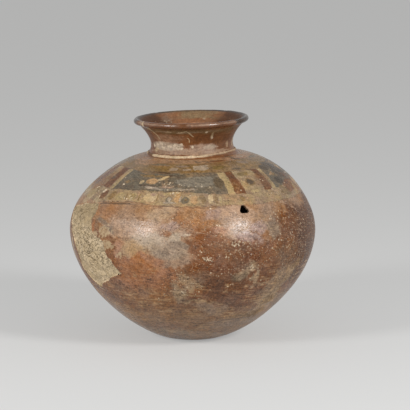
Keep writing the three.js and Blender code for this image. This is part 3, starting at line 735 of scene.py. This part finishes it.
def course_piece(name, start, end, material, slot, cap_below=False, mouth_joint=False, hole=False):
    """One course of the globe: fine painted outside, coarser bare inside, slanted joints between."""
    places = np.linspace(start, end, round((end - start) / OUTER_STEP) + 1)
    inside_start = 0 if cap_below else start + JOINT_CLIMB
    inside_end = end if mouth_joint else end + JOINT_CLIMB
    inside = np.linspace(inside_end, inside_start, round((inside_end - inside_start) / INNER_STEP) + 1)
    if hole:
        near = places[np.abs(places - globe.reach(HOLE_HEIGHT)) < HOLE_MARGIN]
        far = inside[(inside > near[-1] + OUTER_STEP) | (inside < near[0] - OUTER_STEP)]
        inside = np.sort(np.concatenate([far, near]))[::-1]
    grids = [np.broadcast_arrays(ROUND[None], rows[:, None]) for rows in (places, inside)]
    (angle, place), (inside_angle, inside_place) = ((a.copy(), p.copy()) for a, p in grids)
    if hole:
        removed = open_hole(angle, place, inside_angle, inside_place, places, inside)

    outside, known = outer_surface(angle, place)
    steps = np.array([start - OUTER_STEP, end + OUTER_STEP]).clip(0, globe.length)[:, None]
    beyond, _ = outer_surface(ROUND[None], steps)
    normals = grid_normals(np.concatenate([beyond[:1], outside, beyond[1:]]))[1:-1]

    inner_points = placed(inside_angle, *globe.lifted(inside_place, -WALL)) / MM
    inner_radius, inner_height = globe.lifted(inside_place, -WALL + waves(inner_points, INSIDE_WAVES))
    if mouth_joint:
        inner_radius[0], inner_height[0] = NECK_JOINT_INSIDE
    if cap_below:
        inner_radius[-1], inner_height[-1] = globe.lifted(0, -BASE_WALL)
    inner = placed(inside_angle, inner_radius, inner_height)

    count = len(outside) + len(inner)
    faces = ring_loop(count, closed=not cap_below)
    keep = np.ones(faces.shape[:2], bool)
    walls = []
    if hole:
        keep[: len(removed)] = ~removed
        for k in np.argwhere(removed.any(axis=1))[:, 0]:
            keep[nearest(inside, places[k + 1]) + len(outside)] &= ~removed[k]
        walls = hole_walls(removed, places, inside, len(outside))
    quads = faces[keep].tolist() + walls

    vertices = np.concatenate([outside, inner]).reshape(-1, 3)
    vertex_normals = np.concatenate([normals, grid_normals(inner)]).reshape(-1, 3)
    attributes = {"inside": np.repeat([0.0, 1.0], [angle.size, inside_angle.size])}
    for key, values in known.items():
        unknown = np.zeros((inside_angle.size, 4)) if values.ndim == 3 else np.full(inside_angle.size, -FAR)
        attributes[key] = np.concatenate([values.reshape(-1, *unknown.shape[1:]), unknown])
    attributes["height"][angle.size:] = inner_height.reshape(-1)
    if cap_below:
        quads, vertices, vertex_normals, attributes = base_caps(quads, vertices, vertex_normals, attributes, count)
    make_piece(name, vertices, quads, vertex_normals, attributes, material)


def base_caps(quads, vertices, normals, attributes, count):
    """Closes the bowl's flat underside and its floor with a pole each."""
    n = len(vertices)
    quads = quads + ring_cap(0, n, upward=False) + ring_cap(count - 1, n + 1, upward=True)
    vertices = np.concatenate([vertices, [[0, 0, 0], [0, 0, BASE_WALL * MM]]])
    normals = np.concatenate([normals, [[0, 0, -1], [0, 0, 1]]])
    return quads, vertices, normals, {key: np.concatenate([v, v[[0, -1]]]) for key, v in attributes.items()}


def hole_distance(angle, place):
    """Signed distance to the hole's rounded outline, positive inside, and the radius that scales angles."""
    middle = globe.reach(HOLE_HEIGHT)
    radius = float(globe.at(middle)[0])
    u = np.radians(wrapped(angle - HOLE_ANGLE)) * radius
    bearings = [math.radians(90 + 120 * corner) for corner in range(3)]
    corners = [(HOLE_CORNER_REACH * math.cos(b), HOLE_CORNER_REACH * math.sin(b)) for b in bearings]
    return polygon_distance(corners, u, place - middle, 1) + HOLE_CORNER_RADIUS, radius


def open_hole(angle, place, inside_angle, inside_place, places, inside):
    """Marks the cells that the hole takes away, and moves the vertices round them on to its outline."""
    distance, radius = hole_distance(angle, place)
    pairs = distance + np.roll(distance, -1, axis=1)
    removed = pairs[:-1] + pairs[1:] > 0
    touches, stays = np.zeros((2, *distance.shape), bool)
    for dk, di in itertools.product((0, 1), repeat=2):
        shifted = np.roll(removed, di, axis=1)
        touches[dk:len(places) - 1 + dk] |= shifted
        stays[dk:len(places) - 1 + dk] |= ~shifted
    edge = touches & stays
    nudge = 0.05
    step_u = hole_distance(angle + math.degrees(nudge / radius), place)[0] - distance
    step_v = hole_distance(angle, place + nudge)[0] - distance
    slope = np.hypot(step_u, step_v) + 1e-9
    turn = np.degrees(np.where(edge, -distance * step_u / slope, 0) / radius)
    move = np.where(edge, -distance * step_v / slope, 0)
    angle += turn
    place += move
    for k in np.argwhere(edge.any(axis=1))[:, 0]:
        row = nearest(inside, places[k])
        inside_angle[row] += turn[k]
        inside_place[row] += move[k]
    return removed


def hole_walls(removed, places, inside, outer_rings):
    """Quads through the wall's thickness, all round the hole."""
    n = len(ROUND)

    def outer(k, i):
        return k * n + i % n

    def inner(k, i):
        return (outer_rings + nearest(inside, places[k])) * n + i % n

    walls = []
    for k, i in np.argwhere(removed):
        sides = (((k, i), (k, i + 1), (k - 1, i)), ((k, i + 1), (k + 1, i + 1), (k, i + 1)),
                 ((k + 1, i + 1), (k + 1, i), (k + 1, i)), ((k + 1, i), (k, i), (k, i - 1)))
        for a, b, (beside_k, beside_i) in sides:
            if not removed[beside_k, beside_i % n]:
                walls.append([outer(*a), outer(*b), inner(*b), inner(*a)])
    return walls


def mouth_profile():
    """Neck outside, lip roll and neck inside as one line of radius and height, with where each part ends."""
    outer_r, outer_z = neck.lifted(np.linspace(0, neck.length, round(neck.length / OUTER_STEP) + 1), 0)
    turn = np.radians(np.linspace(*LIP_TURN, LIP_CORNERS))
    lip_r = LIP_CENTRE[0] + LIP_RADIUS * np.cos(turn)
    lip_z = LIP_CENTRE[1] + LIP_RADIUS * np.sin(turn)
    down = np.linspace(neck.length, 0, round(neck.length / MOUTH_STEP) + 1)
    inner_r, inner_z = neck.lifted(down, -NECK_WALL)
    inner_r[-1], inner_z[-1] = NECK_JOINT_INSIDE
    share = np.linspace(0, 1, SLOPE_CORNERS + 2)[1:-1]
    slope_r = lip_r[-1] + (inner_r[0] - lip_r[-1]) * share
    slope_z = lip_z[-1] + (inner_z[0] - lip_z[-1]) * share + SLOPE_BULGE * np.sin(np.pi * share)
    radius = np.r_[outer_r, lip_r, slope_r, inner_r]
    height = np.r_[outer_z, lip_z, slope_z, inner_z]
    return radius, height, len(outer_r) - 1, len(radius) - len(inner_r)


def upright_bands(marks, height):
    """Blots so tall that they cross a whole ring."""
    return [(paint, strength, at, height, half_width, WHOLE_RING) for paint, strength, at, half_width in marks]


def mouth_pieces(material):
    radius, height, neck_top, lip_end = mouth_profile()
    tangent = np.gradient(np.c_[radius, height], axis=0)
    tangent /= np.linalg.norm(tangent, axis=1)[:, None]
    rows = np.arange(len(radius))
    angle = np.broadcast_to(ROUND[None], (len(rows), len(ROUND)))
    points = placed(angle, radius[:, None], height[:, None]) / MM
    lift = waves(points, MOUTH_WAVES)
    off_lip = (height - LIP_CENTRE[1]) ** 2 + (radius - LIP_CENTRE[0]) ** 2
    lip = np.exp(-off_lip / NICK_SPREAD)[:, None]
    for at, half_width, depth in NICKS:
        across = np.radians(wrapped(angle - at)) * LIP_CENTRE[0]
        lift = lift - depth * lip * np.exp(-((across / half_width) ** 2)) * (1 + waves(points, NICK_WAVES))
    lift = lift * smooth(np.minimum(rows, rows[::-1])[:, None], 0, CALM_ROWS)
    grid = placed(angle, radius[:, None] + tangent[:, 1:] * lift, height[:, None] - tangent[:, :1] * lift)
    normals = grid_normals(grid)

    spread = np.zeros_like(angle)
    place = neck.reach(np.minimum(height, NECK_TOP))[:, None] + spread
    drawn = Wall(neck, angle, place, radius[:, None]).strayed(points, *MOUTH_STRAY)
    inside = smooth(rows, lip_end + MOUTH_FADE[0], lip_end + MOUTH_FADE[1])[:, None] + spread
    is_inner = inside > 0.5
    outer = np.where((height < LIP_MARKS_FROM)[:, None, None], drawn.layered(NECK_MARKS, NECK_SOFT),
                     drawn.layered(upright_bands(LIP_STAINS_AND_SHADE, NECK_TOP), BLURRED))
    known = {
        "inside": inside,
        "height": height[:, None] + spread,
        "weather_and_painted_light": np.where(is_inner[..., None], drawn.layered(MOUTH_MARKS, BLURRED), outer),
        "pale_stroke": np.where(is_inner, -FAR, drawn.strokes(NECK_STROKES)),
    }
    for name, part in (("neck", np.r_[rows[: neck_top + 1], rows[lip_end:]]), ("rim", rows[neck_top:lip_end + 1])):
        part_known = {key: values[part] for key, values in known.items()}
        ring_piece(name, grid[part], normals[part], part_known, material)


def fillet_piece(material):
    radius, height, out_r, out_z = neck.at(FILLET_PLACE + at_angles(FILLET_RISE, ROUND))
    size = at_angles(FILLET_SIZE, ROUND) * (1 + waves(placed(ROUND, radius, height) / MM, FILLET_WAVES))
    turn = np.radians(np.linspace(0, 360, FILLET_CORNERS, endpoint=False))[:, None]
    bulge = FILLET_BULGE * np.cos(turn) * size
    up = FILLET_HALF_HEIGHT * np.sin(turn) * size
    ring_r = radius + out_r * bulge - out_z * up
    ring_z = height + out_z * bulge + out_r * up
    grid = placed(ROUND[None], ring_r, ring_z)
    normals = grid_normals(np.concatenate([grid[-1:], grid, grid[:1]]))[1:-1]
    wall = Wall(neck, np.broadcast_to(ROUND[None], ring_r.shape), np.zeros_like(ring_r), ring_r)
    known = {"weather_and_painted_light": wall.layered(upright_bands(FILLET_STAINS, NECK[0][1]), BLURRED)}
    ring_piece("neck_fillet", grid, normals, known, material)


def put(tree, socket, value):
    """Links a value that is a socket, and sets one that is a number, a direction or a colour."""
    if isinstance(value, bpy.types.NodeSocket):
        tree.links.new(value, socket)
    elif isinstance(value, tuple):
        socket.default_value = (*value, 1.0)[:len(socket.default_value)]
    else:
        socket.default_value = value


def add_node(tree, kind, inputs=(), **settings):
    """A new node with its settings. Its inputs are named, or in the order of its sockets."""
    node = tree.nodes.new("ShaderNode" + kind)
    for name, setting in settings.items():
        setattr(node, name, setting)
    for key, value in inputs.items() if isinstance(inputs, dict) else enumerate(inputs):
        put(tree, node.inputs[key], value)
    return node


class Clay:
    """A clay material: its node tree, the noises that every clay shares, and the colour built up so far."""

    def __init__(self, name, specular=0.3):
        self.material = bpy.data.materials.new(name)
        self.material.use_nodes = True
        self.tree = self.material.node_tree
        self.shader = self.tree.nodes["Principled BSDF"]
        put(self.tree, self.shader.inputs["Specular IOR Level"], specular)
        self.object = self.node("TexCoord").outputs["Object"]
        self.colour = None
        self.clouds = self.noise(14, 4, 0.6)
        self.patches = self.noise(42, 4, 0.6)
        self.mottle = self.noise(95, 4, 0.65)
        self.fine = self.noise(260, 3, 0.7)
        self.dust = self.noise(620, 2, 0.7)
        self.wisps = self.noise(48, 6, 0.72, distortion=1.4)
        self.wiping = self.noise(24, 4, 0.65, self.stretched(1, 1, 9))
        self.fine_wiping = self.noise(60, 3, 0.65, self.stretched(1, 1, 13))
        self.rubbing = self.noise(75, 3, 0.65, self.slanted(24, 10))

    def node(self, kind, inputs=(), **settings):
        return add_node(self.tree, kind, inputs, **settings)

    def math(self, operation, *values):
        return self.node("Math", values, operation=operation).outputs[0]

    def times(self, *values):
        return functools.reduce(functools.partial(self.math, "MULTIPLY"), values)

    def sum(self, *values, **shares):
        """Values added up, with shares of the noises that are named."""
        parts = [self.times(getattr(self, name), share) for name, share in shares.items()]
        return functools.reduce(functools.partial(self.math, "ADD"), [*values, *parts])

    def attribute(self, name):
        return self.node("Attribute", attribute_name=name).outputs["Fac"]

    def blots(self, name):
        """Colour and cover of layered blots."""
        outputs = self.node("Attribute", attribute_name=name).outputs
        return outputs["Color"], outputs["Alpha"]

    def stretched(self, *scale):
        """Coordinates that squeeze a pattern along x, y and z."""
        return self.node("Mapping", {"Vector": self.object, "Scale": scale}).outputs["Vector"]

    def slanted(self, lean, squeeze):
        """Coordinates that squeeze a pattern along an upright that leans sideways."""
        inputs = {"Vector": self.object, "Rotation": (0, math.radians(lean), 0), "Scale": (1, 1, 1 / squeeze)}
        return self.node("Mapping", inputs, vector_type="TEXTURE").outputs["Vector"]

    def noise(self, scale, detail=3, roughness=0.55, vector=None, distortion=0):
        """Noise about 0, mostly between -0.3 and 0.3, with scale lumps to a metre."""
        inputs = {"Vector": vector or self.object, "Scale": scale, "Detail": detail, "Roughness": roughness,
                  "Distortion": distortion}
        return self.math("SUBTRACT", self.node("TexNoise", inputs).outputs[0], 0.5)

    def step(self, value, low, high, bottom=0, top=1, **shares):
        """Goes from bottom to top as a value goes from low to high, with shares of the noises added to it."""
        inputs = (self.sum(value, **shares), low, high, bottom, top)
        return self.node("MapRange", inputs, interpolation_type="SMOOTHSTEP").outputs[0]

    def line(self, value, width, **shares):
        """1 where a value passes through 0, fading to 0 at a width to either side."""
        return self.step(self.math("ABSOLUTE", self.sum(value, **shares)), width, width * 0.3)

    def flecks(self, scale, rarity, *stretch):
        """Irregular grains where a noise is above a limit."""
        noise = self.noise(scale, 2, 0.6, self.stretched(*stretch) if stretch else None)
        return self.step(self.math("SUBTRACT", noise, rarity), 0, 0.05)

    def dots(self, cell, size, share):
        """Round grains strewn at random, at most one to a cell: both measures in millimetres, share from 0 to 1."""
        cells = self.node("TexVoronoi", {"Vector": self.object, "Scale": 1 / MM / cell}).outputs
        chance = self.node("SeparateColor", (cells["Color"],)).outputs
        reach = self.times(self.sum(chance[1], 0.6), size / cell / 2)
        inside = self.step(self.math("DIVIDE", cells["Distance"], reach), 1, 0.5)
        return self.times(inside, self.math("LESS_THAN", chance[0], share))

    def mix(self, share, first, second):
        """Mix of two colours."""
        return self.node("Mix", {0: share, 6: first, 7: second}, data_type="RGBA").outputs[2]

    def blend(self, share, first, second):
        """Mix of two numbers."""
        return self.node("Mix", {0: share, 2: first, 3: second}).outputs[0]

    def lay(self, paint, *shares):
        """Lays a colour over the colour so far."""
        self.colour = self.mix(self.times(*shares), self.colour, paint)

    def shade(self, richness=1, **shares):
        """Makes the colour so far lighter or darker by shares of the noises."""
        inputs = {"Saturation": richness, "Value": self.sum(1, **shares), "Color": self.colour}
        self.colour = self.node("HueSaturation", inputs).outputs[0]

    def finish(self, roughness, height):
        """Sets the shader. height is in millimetres."""
        bump = self.node("Bump", {"Strength": 1, "Distance": MM, "Height": height})
        inputs = {"Base Color": self.colour, "Roughness": roughness, "Normal": bump.outputs["Normal"]}
        for name, value in inputs.items():
            put(self.tree, self.shader.inputs[name], value)
        return self.material


def slip_ground(n, height):
    """The burnished slip before it was painted and buried: tan above, red in the middle, brown at the foot."""
    height = n.sum(height, clouds=50, wiping=50)
    n.colour = n.mix(n.step(height, 72, 38), RED, LOAM)
    n.lay(TAN, n.step(height, 126, 156))
    n.lay(RUSSET, n.step(n.patches, 0.03, 0.2, 0, 0.4))


def torn_blots(n, strength=1, layer="weather_and_painted_light"):
    """Layered blots, torn at their edges."""
    blots, cover = n.blots(layer)
    torn = n.step(cover, 0.15, 0.7, wisps=1.1, fine=0.7, fine_wiping=0.7)
    n.lay(blots, torn, n.step(cover, 0, 0.15), strength)


def wiped_and_scratched(n, low, foot):
    """Streaks of wiping and pale scratches, most of them low on the jar."""
    streaks = n.sum(n.fine_wiping, wiping=0.6)
    n.lay(BUFF, n.step(streaks, 0.03, 0.2), foot)
    n.lay(DEEP, n.step(streaks, -0.03, -0.18), low, 0.28)
    n.lay(ROSE, n.step(n.rubbing, 0.05, 0.2), n.step(low, 1, 0.3), 0.3)
    hatching = n.line(n.noise(22, 1, 0.5, n.stretched(1, 1, 8), 0.6), 0.075)
    n.lay(PALE_SAND, hatching, n.step(n.mottle, -0.04, 0.12, patches=1), n.step(low, 0.3, 0.9, 0, 0.6))
    n.lay(PALE_ASH, n.line(n.rubbing, 0.014, mottle=0.3), n.step(n.clouds, -0.02, 0.08), 0.4)


def painted_frieze(n):
    """Bands, panels, bars and figures on the shoulder, worn thin and broken at their edges."""
    thin = n.step(n.patches, 0.28, 0, 0.6, 1, mottle=0.8, fine=0.9)

    def painted(name, soft=0.45):
        return n.step(n.attribute(name), -soft, soft, mottle=2.6, fine=3)

    cream = n.mix(n.step(n.mottle, -0.2, 0.2), CREAM, DRIFT)
    cream = n.mix(n.step(n.patches, -0.05, 0.25, 0, 0.6), cream, PALE_CREAM)
    border = n.mix(n.step(n.mottle, -0.1, 0.3, patches=1), BARK, MOSS)
    border = n.mix(n.step(n.wisps, -0.1, 0.2, 0, 0.5), border, DRIFT)
    bar = n.mix(n.step(n.mottle, -0.05, 0.25), BAR_RED, DEEP)
    bar = n.mix(n.step(n.fine, 0.08, 0.25, 0, 0.3), bar, ROSE)
    n.lay(border, painted("border", 1.2), thin, 0.9)
    n.lay(cream, painted("cream"), thin, 0.95)
    n.lay(n.mix(n.step(n.mottle, -0.2, 0.25, patches=1), SLATE, PLUM), painted("panel"), thin)
    figures, cover = n.blots("figures")
    n.lay(figures, n.step(cover, 0.2, 0.7, mottle=1.3, fine=1.5), n.step(cover, 0, 0.1), 0.88)
    n.lay(n.mix(n.step(n.mottle, -0.1, 0.25), STRAW, CREAM), painted("stripe"), thin, 0.95)
    n.lay(bar, painted("bar"), thin)
    edges = [n.line(n.attribute(name), width, mottle=1.3, fine=1.5) for name, width in (("cream", 0.8), ("bar", 0.7))]
    n.lay(SOOT, n.math("MAXIMUM", *edges), n.step(n.wisps, -0.1, 0.12), 0.65)


def strewn_grains(n):
    """Specks, pits, chalk, lime and strokes. Gives back their relief."""
    dense = n.attribute("speck")
    pale = n.flecks(400, n.step(dense, -1, 0.8, 0.205, 0.1))
    dark = n.flecks(350, n.step(dense, -1, 0.8, 0.2, 0.13), 1.1, 0.93, 1.04)
    gathered = n.step(n.patches, -0.2, 0.06, mottle=0.8)
    dots = n.times(n.dots(3.2, 1.75, n.step(dense, -1.2, 0.8, 0.03, 0.85)), gathered)
    pits = n.dots(3.1, 1.6, n.step(dense, -1.2, 0.8, 0.1, 0.5))
    n.lay(SOOT, n.math("MAXIMUM", dark, pits), 0.55)
    n.lay(PALE_SAND, pale, 0.7)
    n.lay(CHALK_WHITE, dots, n.step(n.mottle, -0.15, 0.2, 0.3, 0.9))
    cluster = n.step(n.attribute("chalk"), -0.1, 0.9, 0.235, 0.02, mottle=0.8)
    n.lay(CHALK_WHITE, n.flecks(450, cluster, 1, 1.05, 0.95), 0.85)
    n.lay(CHALK_WHITE, n.step(n.attribute("clod"), 0.05, 0.35, fine=0.9, mottle=0.5), 0.9)
    pale_stroke = n.step(n.attribute("pale_stroke"), -0.25, 0.25, fine=0.6)
    n.lay(SOOT, n.step(n.attribute("dark_stroke"), -0.3, 0.3, fine=0.6), 0.6)
    n.lay(ROSE, pale_stroke, 0.7)
    heights = ((pale, 0.12), (dots, 0.25), (dark, -0.12), (pits, -0.2), (pale_stroke, 0.1))
    return n.sum(*(n.times(grain, height) for grain, height in heights))


def bared_paste(n, height):
    """The cream clay under the skin, in the flaked patch. Gives back where it shows and its relief."""
    skin = n.colour
    edge = n.attribute("flake")
    gone = n.step(edge, -0.15, 0.25)
    grain = n.noise(130, 4, 0.65, n.slanted(-30, 2.6), 0.8)
    hollows = n.step(grain, 0.07, 0.2, mottle=0.7, dust=0.4)
    ridge = n.step(n.noise(70, 4, 0.65, n.slanted(-28, 3), 1.2), 0.03, 0.16)
    seam = n.line(n.noise(62, 4, 0.6, n.slanted(-28, 1.8), 1.6), 0.022)
    wander = n.sum(height, wisps=40)
    rough_part = n.times(n.step(wander, 90, 108), n.step(wander, 152, 128, 0.35, 1))
    n.colour = n.mix(n.step(n.mottle, -0.2, 0.2, patches=0.6), PASTE, PASTE_LIGHT)
    # Pale ridges in the paste: pale clay, partly a painted highlight along them.
    n.lay(PASTE_EDGE, ridge, 0.7)
    n.lay(CREAM, n.step(wander, 136, 156, 0, 0.7))
    n.lay(PASTE_DARK, hollows, n.blend(rough_part, 0.35, 0.8))
    n.lay(PASTE_DARK, seam, rough_part, 0.6)
    n.lay(PASTE_DARK, n.step(n.attribute("crack"), -0.3, 0.3, fine=2.5), 0.8)
    # A pale rim along the flake's broken edge: a painted highlight.
    n.lay(PASTE_EDGE, n.step(edge, -0.5, 0.3), n.step(edge, 1.7, 0.5), n.step(n.patches, -0.1, 0.1), 0.7)
    n.shade(fine=1.1, dust=0.9)
    n.colour = n.mix(gone, skin, n.colour)
    relief = n.sum(n.times(hollows, -0.6), n.times(ridge, 0.4), n.times(seam, rough_part, -0.5),
                   fine=0.9, mottle=0.9, dust=0.3)
    return gone, relief


def weathered_slip():
    """The globe's whole surface: slip, frieze, stains with some painted highlights and shade, film, crusts, grains
    and the flaked patch.
    """
    n = Clay("weathered_slip")
    height = n.attribute("height")
    low = n.step(height, 116, 84, 0.3, 1, clouds=60)
    slip_ground(n, height)
    torn_blots(n)
    wiped_and_scratched(n, low, n.step(height, 92, 58, 0.12, 0.5, clouds=50))
    painted_frieze(n)
    torn_blots(n, 0.9, "grime_and_painted_shade")

    film = n.step(n.attribute("film"), -0.05, 0.65, wisps=1.7, fine=0.5)
    n.lay(ASH, film, n.step(n.mottle, -0.1, 0.15), 0.5)
    n.lay(ASH, n.step(n.wisps, 0.05, 0.3, fine=0.7, rubbing=0.6), 0.12)
    curl = n.line(n.noise(120, 3, 0.6, distortion=2.2), 0.03)
    n.lay(INK, curl, n.step(n.patches, -0.05, 0.15), n.blend(film, 0.12, 0.55))
    crust = n.step(n.attribute("deposit"), -0.05, 0.5, wisps=1.7, fine=1.1)
    n.lay(CRUST, crust, 0.6)
    grains = strewn_grains(n)
    n.shade(n.step(n.patches, -0.3, 0.3, 0.95, 1.25), fine=n.blend(low, 1, 1.7), dust=n.blend(low, 1.2, 1.7),
            mottle=n.blend(low, 0.7, 1.1), rubbing=0.8, fine_wiping=n.blend(low, 0.3, 1),
            patches=n.blend(low, 0, 0.5))

    scuff = n.attribute("scuff")
    n.lay(PASTE, n.step(scuff, 0.1, 0.45, mottle=2.2, fine=2.4), n.step(scuff, -0.4, 0),
          n.step(n.fine, -0.12, 0.1, 0.35, 0.8))
    gone, broken = bared_paste(n, height)
    inside = n.attribute("inside")
    n.lay(n.mix(n.step(n.clouds, -0.2, 0.25, mottle=1), BARE_CLAY, UMBER), inside)

    bared = n.math("MAXIMUM", gone, inside)
    rough = n.step(n.clouds, -0.2, 0.25, 0.22, 0.4, mottle=0.6)
    for share, dull in ((n.times(film, 0.5), 0.5), (crust, 0.8), (bared, 0.92)):
        rough = n.blend(share, rough, dull)
    burnished = n.sum(grains, n.times(curl, -0.05), n.times(crust, n.fine, 0.6),
                      wiping=0.25, fine_wiping=0.08, mottle=0.16, fine=0.07)
    return n.finish(rough, n.blend(bared, burnished, broken))


def neck_slip():
    """Neck, lip and mouth: thin red slip over tan clay, stained, with painted shade at the lip's ends and far side
    and a painted highlight line on its crest.
    """
    n = Clay("neck_slip", specular=0.4)
    height, inside = n.attribute("height"), n.attribute("inside")
    patchy = n.step(n.patches, -0.2, 0.25, mottle=1)
    lip = n.step(height, 251, 253.5, patches=3)
    n.colour = n.mix(patchy, NECK_RED, NECK_DARK)
    n.lay(n.mix(n.step(n.patches, -0.15, 0.2), LIP_RED, NECK_DARK), lip)
    # A pale band along the lip's crest, broken by noise: a painted highlight line.
    n.lay(DUN, n.step(height, 255.8, 256.8), n.step(height, 258.8, 257.8), n.step(n.patches, 0.15, -0.1), 0.7)
    n.lay(n.mix(patchy, MOUTH_TAN, NECK_RED), inside)
    torn_blots(n, 0.95)
    streaks = n.sum(wiping=0.6, fine_wiping=1.2)
    n.lay(BUFF, n.step(streaks, 0.05, 0.2), n.blend(lip, 0.2, 0))
    n.lay(NECK_DARK, n.step(streaks, -0.04, -0.2), 0.4)
    n.lay(PALE_CREAM, n.step(n.attribute("pale_stroke"), -0.25, 0.25, fine=0.6), 0.85)
    pale = n.flecks(400, 0.19)
    n.lay(CRUST, pale, 0.6)
    n.shade(fine=1.2, dust=0.9, mottle=0.7)
    dull = n.math("MAXIMUM", inside, n.times(n.blots("weather_and_painted_light")[1], n.step(lip, 1, 0.5), 0.6))
    rough = n.blend(dull, n.step(n.mottle, -0.2, 0.25, 0.27, 0.4), 0.75)
    rough = n.blend(lip, rough, n.blend(inside, 0.2, 0.6))
    return n.finish(rough, n.sum(n.times(pale, 0.1), wiping=0.2, mottle=0.2, fine=0.12))


def luting_clay():
    """The cream ring at the neck's foot."""
    n = Clay("luting_clay")
    n.colour = n.mix(n.step(n.mottle, -0.1, 0.25), LUTING, CREAM)
    torn_blots(n)
    n.lay(UMBER, n.step(n.patches, 0.1, 0.24, 0, 0.8, mottle=0.5))
    n.shade(fine=1.4, dust=1)
    return n.finish(n.step(n.mottle, -0.2, 0.2, 0.6, 0.8), n.sum(fine=0.3))


def build_jar():
    slip = weathered_slip()
    joints = [0, *(float(globe.reach(height)) for height in JOINT_HEIGHTS), globe.length]
    course_piece("base_bowl", *joints[0:2], slip, "brown_clay", cap_below=True)
    course_piece("lower_wall", *joints[1:3], slip, "red_slip")
    course_piece("belly_wall", *joints[2:4], slip, "red_slip")
    course_piece("lower_shoulder", *joints[3:5], slip, "painted_slip", hole=True)
    course_piece("upper_shoulder", *joints[4:6], slip, "painted_slip", mouth_joint=True)
    mouth_pieces(neck_slip())
    fillet_piece(luting_clay())


# The photograph's camera: how far off and how high it stands, how far it looks down, and how wide it sees.
CAMERA_DISTANCE = 2600
CAMERA_HEIGHT = 590
CAMERA_PITCH = 9.51
CAMERA_YAW = 0.32
FIELD_OF_VIEW = 10.44
SENSOR_WIDTH = 36

# Two soft boxes in front, left and right: bearing from the front, elevation, distance, width, height and power.
SOFT_BOXES = ((-49, 23, 1900, 420, 500, 20), (48, 28, 1900, 380, 460, 22))
AIM = Vector((0, 0, 0.13))

# Pale surroundings: the light that they give, and what shows of them.
AMBIENT_STRENGTH = 0.3
BACKDROP = (0.56, 0.56, 0.555)
FLOOR_COLOUR = (0.5, 0.5, 0.49)
FLOOR_SHADOWED = (0.38, 0.38, 0.375)
FLOOR_GLOW = (0.33, 0.33, 0.327)
FLOOR_ROUGHNESS = 0.9
FLOOR_HALF_SIZE = 14


def add_object(name, data):
    item = bpy.data.objects.new(name, data)
    bpy.context.scene.collection.objects.link(item)
    return item


def make_camera():
    data = bpy.data.cameras.new("camera")
    data.sensor_width = SENSOR_WIDTH
    data.lens = SENSOR_WIDTH / 2 / math.tan(math.radians(FIELD_OF_VIEW / 2))
    camera = add_object("camera", data)
    camera.location = (0, -CAMERA_DISTANCE * MM, CAMERA_HEIGHT * MM)
    camera.rotation_euler = (math.radians(90 - CAMERA_PITCH), 0, math.radians(-CAMERA_YAW))
    bpy.context.scene.camera = camera


def make_lights():
    for bearing, elevation, distance, width, tall, power in SOFT_BOXES:
        turn, rise = math.radians(bearing), math.radians(elevation)
        away = Vector((math.sin(turn) * math.cos(rise), -math.cos(turn) * math.cos(rise), math.sin(rise)))
        data = bpy.data.lights.new("soft_box", "AREA")
        data.shape = "RECTANGLE"
        data.size = width * MM
        data.size_y = tall * MM
        data.energy = power
        lamp = add_object("soft_box", data)
        lamp.location = AIM + away * distance * MM
        lamp.rotation_euler = away.to_track_quat("Z", "Y").to_euler()


def by_ray(tree, given, seen):
    """One shader for the light that the surroundings give, and another for what shows of them."""
    path = add_node(tree, "LightPath").outputs
    direct = path["Is Camera Ray"]
    for name in ("Is Glossy Ray", "Is Transmission Ray"):
        direct = add_node(tree, "Math", (direct, path[name]), operation="MAXIMUM").outputs[0]
    return add_node(tree, "MixShader", (direct, given.outputs[0], seen.outputs[0])).outputs[0]


def make_world():
    """Even pale surroundings."""
    world = bpy.data.worlds.new("studio")
    world.use_nodes = True
    tree = world.node_tree
    ambient = tree.nodes["Background"]
    put(tree, ambient.inputs["Color"], (1, 1, 1))
    put(tree, ambient.inputs["Strength"], AMBIENT_STRENGTH)
    seen = add_node(tree, "Background", (BACKDROP, 1))
    put(tree, tree.nodes["World Output"].inputs["Surface"], by_ray(tree, ambient, seen))
    bpy.context.scene.world = world


def make_floor():
    """A pale floor that keeps the jar's shadow and looks paler than the light that it gives back."""
    mesh = bpy.data.meshes.new("floor")
    s = FLOOR_HALF_SIZE
    mesh.from_pydata([(-s, -s, 0), (s, -s, 0), (s, s, 0), (-s, s, 0)], [], [(0, 1, 2, 3)])
    material = bpy.data.materials.new("floor")
    material.use_nodes = True
    tree = material.node_tree
    plain = tree.nodes["Principled BSDF"]
    put(tree, plain.inputs["Base Color"], FLOOR_COLOUR)
    put(tree, plain.inputs["Roughness"], FLOOR_ROUGHNESS)
    paper = add_node(tree, "BsdfDiffuse", {"Color": FLOOR_SHADOWED})
    glow = add_node(tree, "Emission", {"Color": FLOOR_GLOW})
    seen = add_node(tree, "AddShader", (paper.outputs[0], glow.outputs[0]))
    put(tree, tree.nodes["Material Output"].inputs["Surface"], by_ray(tree, plain, seen))
    mesh.materials.append(material)
    floor = add_object("floor", mesh)


make_camera()
build_jar()
make_floor()
make_world()
make_lights()
bpy.context.scene.view_settings.view_transform = "Standard"
